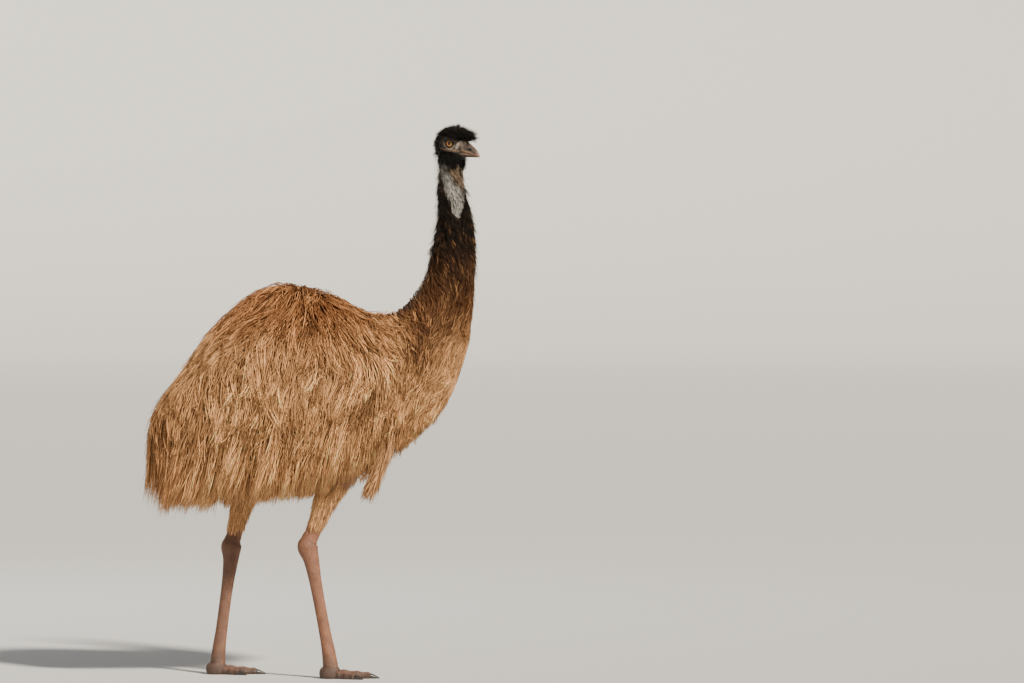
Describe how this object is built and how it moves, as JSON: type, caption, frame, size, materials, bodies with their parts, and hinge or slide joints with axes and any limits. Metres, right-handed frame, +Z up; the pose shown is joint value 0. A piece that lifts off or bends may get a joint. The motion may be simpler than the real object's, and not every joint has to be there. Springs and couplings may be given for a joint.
{
  "type": "emu",
  "caption": "Adult emu standing with one foot a short step ahead of the other and its head turned to its right, as a still, life-size model.",
  "frame": {"origin": "on the floor, below the middle of the model's box", "axes": "+X forward along the body, +Y the bird's left, +Z up"},
  "size_m": [1.0722, 0.4962, 1.7579],
  "materials": {
    "body_plumage": "matte, warm brown with pale straw strands",
    "wing_plumage": "matte, pale orange-brown",
    "leg_plumage": "matte, dark brown",
    "neck_plumage": "matte, black-brown",
    "neck_skin": "matte, pale blue-grey skin",
    "face_skin": "matte, blue-black skin",
    "bill": "satin horn",
    "eye": "glossy, wet",
    "leg_skin": "matte, scaly",
    "claw": "satin horn"
  },
  "bodies": {
    "root": {"tail": "body_plumage", "torso": "body_plumage", "neck_lower": "neck_plumage", "neck_upper": "neck_skin", "head": "face_skin", "bill_upper": "bill", "bill_lower": "bill", "eye_right": "eye", "wing_right": "wing_plumage", "eye_left": "eye", "wing_left": "wing_plumage", "drumstick_right": "leg_plumage", "shank_right": "leg_skin", "foot_pad_right": "leg_skin", "toe_middle_right": "leg_skin", "claw_middle_right": "claw", "toe_inner_right": "leg_skin", "claw_inner_right": "claw", "toe_outer_right": "leg_skin", "claw_outer_right": "claw", "drumstick_left": "leg_plumage", "shank_left": "leg_skin", "foot_pad_left": "leg_skin", "toe_middle_left": "leg_skin", "claw_middle_left": "claw", "toe_inner_left": "leg_skin", "claw_inner_left": "claw", "toe_outer_left": "leg_skin", "claw_outer_left": "claw"}
  },
  "joints": []
}
